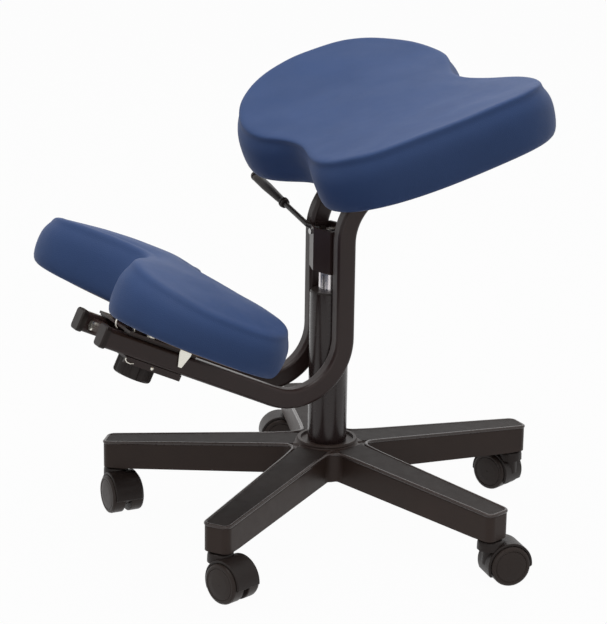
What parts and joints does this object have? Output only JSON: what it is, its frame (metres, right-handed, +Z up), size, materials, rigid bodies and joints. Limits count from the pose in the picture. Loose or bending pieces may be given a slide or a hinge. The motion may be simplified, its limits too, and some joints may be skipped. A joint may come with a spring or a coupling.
{
  "type": "kneeling chair",
  "caption": "Kneeling chair with a butterfly-shaped seat and sliding knee pad on two bent side tubes, over a gas-lift column and a star base on casters.",
  "frame": {"origin": "on the gas-lift column's axis, at floor level under the casters", "axes": "+Z up; the sitter faces -Y, over the knee pad; +X is at the sitter's left"},
  "size_m": [0.595, 0.6459, 0.5961],
  "materials": {
    "blue_vinyl": "satin",
    "plywood": "matte",
    "frame_paint": "satin",
    "black_plastic": "satin",
    "wheel_nylon": "satin",
    "chromed_steel": "polished",
    "bright_steel": "satin",
    "zinc": "satin"
  },
  "bodies": {
    "base": {"base_star": "black_plastic", "caster_stems": "bright_steel", "column_tube": "frame_paint", "guide_bush": "black_plastic", "thrust_bearing": "bright_steel"},
    "lift_rod": {"piston_rod": "bright_steel", "rod_clip": "bright_steel"},
    "frame": {"gas_cylinder": "chromed_steel", "column_bracket": "frame_paint", "cylinder_socket": "frame_paint", "lever_pivot": "bright_steel", "side_tube_left": "frame_paint", "side_tube_right": "frame_paint", "front_end_caps": "black_plastic", "rear_end_caps": "black_plastic", "front_spacer": "frame_paint", "spacer_bolts": "zinc", "seat_plate": "frame_paint", "seat_bolts": "zinc", "seat_board": "plywood", "seat_cushion": "blue_vinyl"},
    "lever": {"lever_rod": "bright_steel", "lever_grip": "black_plastic"},
    "button": {"release_button": "bright_steel"},
    "knee_carriage": {"carriage_plate": "frame_paint", "carriage_bolts": "zinc", "glide_strips": "black_plastic", "guide_ears": "zinc", "riser_channel": "frame_paint", "board_screws": "zinc", "clamp_stud": "bright_steel", "knee_board": "plywood", "knee_cushion": "blue_vinyl"},
    "clamp": {"clamp_plate": "frame_paint"},
    "clamp_knob": {"knob": "black_plastic", "knob_insert": "bright_steel"},
    "caster_1": {"caster_hood_1": "black_plastic", "caster_axle_1": "bright_steel"},
    "wheel_1_left": {"caster_wheel_1_left": "wheel_nylon"},
    "wheel_1_right": {"caster_wheel_1_right": "wheel_nylon"},
    "caster_2": {"caster_hood_2": "black_plastic", "caster_axle_2": "bright_steel"},
    "wheel_2_left": {"caster_wheel_2_left": "wheel_nylon"},
    "wheel_2_right": {"caster_wheel_2_right": "wheel_nylon"},
    "caster_3": {"caster_hood_3": "black_plastic", "caster_axle_3": "bright_steel"},
    "wheel_3_left": {"caster_wheel_3_left": "wheel_nylon"},
    "wheel_3_right": {"caster_wheel_3_right": "wheel_nylon"},
    "caster_4": {"caster_hood_4": "black_plastic", "caster_axle_4": "bright_steel"},
    "wheel_4_left": {"caster_wheel_4_left": "wheel_nylon"},
    "wheel_4_right": {"caster_wheel_4_right": "wheel_nylon"},
    "caster_5": {"caster_hood_5": "black_plastic", "caster_axle_5": "bright_steel"},
    "wheel_5_left": {"caster_wheel_5_left": "wheel_nylon"},
    "wheel_5_right": {"caster_wheel_5_right": "wheel_nylon"}
  },
  "joints": [
    {"name": "seat_swivel", "type": "hinge", "parent": "base", "child": "lift_rod", "pos_m": [0, 0, 0.0675], "axis": [0, 0, 1], "continuous": true},
    {"name": "height", "type": "slide", "parent": "lift_rod", "child": "frame", "axis": [0, 0, 1], "range_m": [-0.025, 0.095]},
    {"name": "lever_lift", "type": "hinge", "parent": "frame", "child": "lever", "pos_m": [-0.012, 0, 0.38738], "axis": [0, 1, 0], "range_deg": [0, 6], "stiffness_Nm_per_rad": 1.5, "springref_deg": -6.88},
    {"name": "button_press", "type": "slide", "parent": "frame", "child": "button", "axis": [0, 0, -1], "range_m": [0, 0.0016]},
    {"name": "knee_slide", "type": "slide", "parent": "frame", "child": "knee_carriage", "axis": [0, -0.9063, 0.4226], "range_m": [-0.06, 0.02]},
    {"name": "knob_turn", "type": "hinge", "parent": "clamp", "child": "clamp_knob", "pos_m": [0, -0.25377, 0.26783], "axis": [0, -0.4226, -0.9063], "range_deg": [0, 720]},
    {"name": "clamp_drop", "type": "slide", "parent": "knee_carriage", "child": "clamp", "axis": [0, -0.4226, -0.9063], "range_m": [0, 0.003]},
    {"name": "caster_1_swivel", "type": "hinge", "parent": "base", "child": "caster_1", "pos_m": [0.26522, 0.08977, 0.05], "axis": [0, 0, 1], "continuous": true},
    {"name": "wheel_1_left_roll", "type": "hinge", "parent": "caster_1", "child": "wheel_1_left", "pos_m": [0.26811, 0.10956, 0.025], "axis": [-0.9895, 0.1444, 0], "continuous": true},
    {"name": "wheel_1_right_roll", "type": "hinge", "parent": "caster_1", "child": "wheel_1_right", "pos_m": [0.26811, 0.10956, 0.025], "axis": [-0.9895, 0.1444, 0], "continuous": true},
    {"name": "caster_2_swivel", "type": "hinge", "parent": "base", "child": "caster_2", "pos_m": [-0.00342, 0.27998, 0.05], "axis": [0, 0, 1], "continuous": true},
    {"name": "wheel_2_left_roll", "type": "hinge", "parent": "caster_2", "child": "wheel_2_left", "pos_m": [-0.02196, 0.27249, 0.025], "axis": [0.3746, -0.9272, 0], "continuous": true},
    {"name": "wheel_2_right_roll", "type": "hinge", "parent": "caster_2", "child": "wheel_2_right", "pos_m": [-0.02196, 0.27249, 0.025], "axis": [0.3746, -0.9272, 0], "continuous": true},
    {"name": "caster_3_swivel", "type": "hinge", "parent": "base", "child": "caster_3", "pos_m": [-0.26733, 0.08327, 0.05], "axis": [0, 0, 1], "continuous": true},
    {"name": "wheel_3_left_roll", "type": "hinge", "parent": "caster_3", "child": "wheel_3_left", "pos_m": [-0.27417, 0.06447, 0.025], "axis": [0.9397, -0.342, 0], "continuous": true},
    {"name": "wheel_3_right_roll", "type": "hinge", "parent": "caster_3", "child": "wheel_3_right", "pos_m": [-0.27417, 0.06447, 0.025], "axis": [0.9397, -0.342, 0], "continuous": true},
    {"name": "caster_4_swivel", "type": "hinge", "parent": "base", "child": "caster_4", "pos_m": [-0.1618, -0.22852, 0.05], "axis": [0, 0, 1], "continuous": true},
    {"name": "wheel_4_left_roll", "type": "hinge", "parent": "caster_4", "child": "wheel_4_left", "pos_m": [-0.1418, -0.22834, 0.025], "axis": [-0.0087, 1, 0], "continuous": true},
    {"name": "wheel_4_right_roll", "type": "hinge", "parent": "caster_4", "child": "wheel_4_right", "pos_m": [-0.1418, -0.22834, 0.025], "axis": [-0.0087, 1, 0], "continuous": true},
    {"name": "caster_5_swivel", "type": "hinge", "parent": "base", "child": "caster_5", "pos_m": [0.16734, -0.2245, 0.05], "axis": [0, 0, 1], "continuous": true},
    {"name": "wheel_5_left_roll", "type": "hinge", "parent": "caster_5", "child": "wheel_5_left", "pos_m": [0.18613, -0.21766, 0.025], "axis": [-0.342, 0.9397, 0], "continuous": true},
    {"name": "wheel_5_right_roll", "type": "hinge", "parent": "caster_5", "child": "wheel_5_right", "pos_m": [0.18613, -0.21766, 0.025], "axis": [-0.342, 0.9397, 0], "continuous": true}
  ],
  "couplings": [
    {"joint": "button_press", "follows": "lever_lift", "m_per_rad": 0.0145},
    {"joint": "knob_turn", "follows": "clamp_drop", "rad_per_m": 4188.8}
  ]
}
